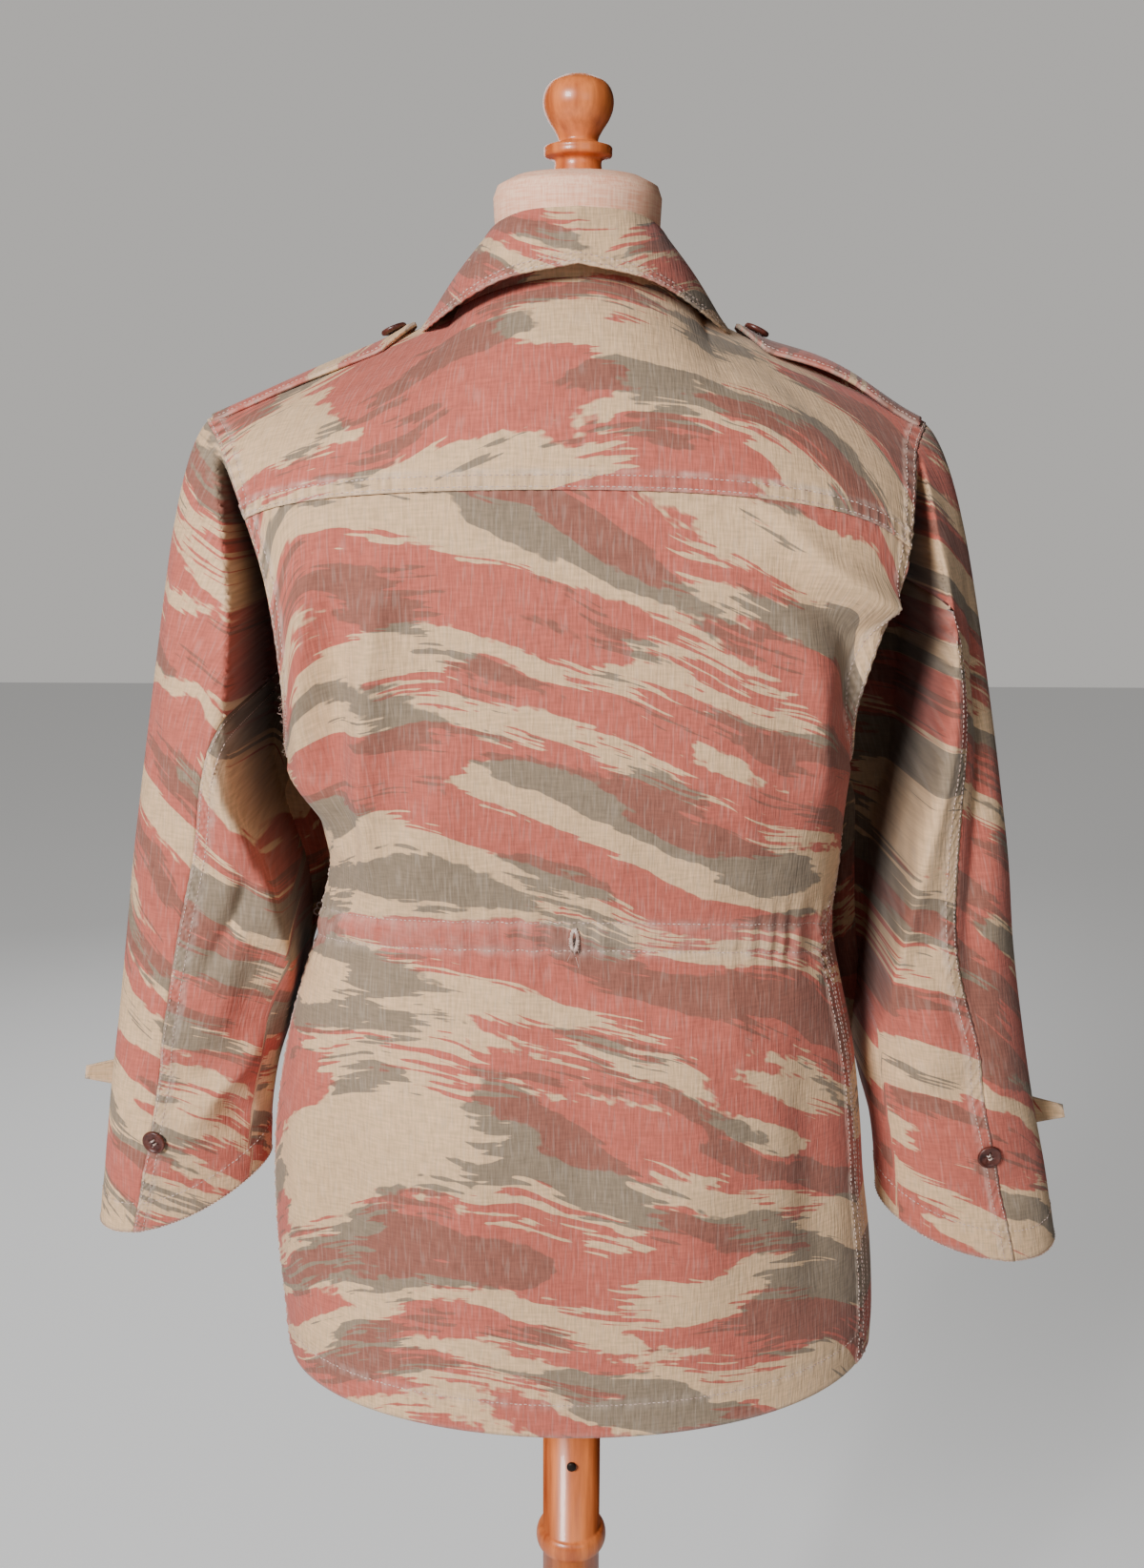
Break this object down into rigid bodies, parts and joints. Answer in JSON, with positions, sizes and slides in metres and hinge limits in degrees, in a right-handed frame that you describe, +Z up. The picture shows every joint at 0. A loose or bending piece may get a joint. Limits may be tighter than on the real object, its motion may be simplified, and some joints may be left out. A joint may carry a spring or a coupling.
{
  "type": "field jacket on a limbless dress form",
  "caption": "Brush-stroke camouflage field jacket with yoke, drawcord waist, fold-over collar, shoulder straps and button cuffs, worn by a linen dress form on a turned wooden stand.",
  "frame": {"origin": "centre of the base's underside, on the floor", "axes": "+Z up; the form faces -Y, so +Y is the jacket's back and +X the wearer's left"},
  "size_m": [0.7185, 0.38, 1.6233],
  "materials": {
    "cloth": "woven cotton twill, printed in tan, brick and grey brush strokes",
    "button": "dark maroon-brown, moulded, four holes",
    "linen": "plain woven linen",
    "wood": "honey-brown, varnished",
    "steel": "darkened"
  },
  "bodies": {
    "root": {"back_panel": "cloth", "back_yoke": "cloth", "front_left": "cloth", "front_right": "cloth", "sleeve_left_upper": "cloth", "sleeve_left_under": "cloth", "sleeve_right_upper": "cloth", "sleeve_right_under": "cloth", "sleeve_seam_left": "cloth", "side_seam_left": "cloth", "sleeve_seam_right": "cloth", "side_seam_right": "cloth", "collar": "cloth", "shoulder_strap_left": "cloth", "shoulder_strap_right": "cloth", "cuff_tab_left": "cloth", "cuff_tab_right": "cloth", "front_button_1": "button", "front_button_2": "button", "front_button_3": "button", "front_button_4": "button", "front_button_5": "button", "front_button_6": "button", "strap_button_left": "button", "strap_button_right": "button", "cuff_button_left": "button", "cuff_button_right": "button", "form_torso": "linen", "finial": "wood", "pole": "wood", "base": "wood", "pole_screw": "steel"}
  },
  "joints": []
}
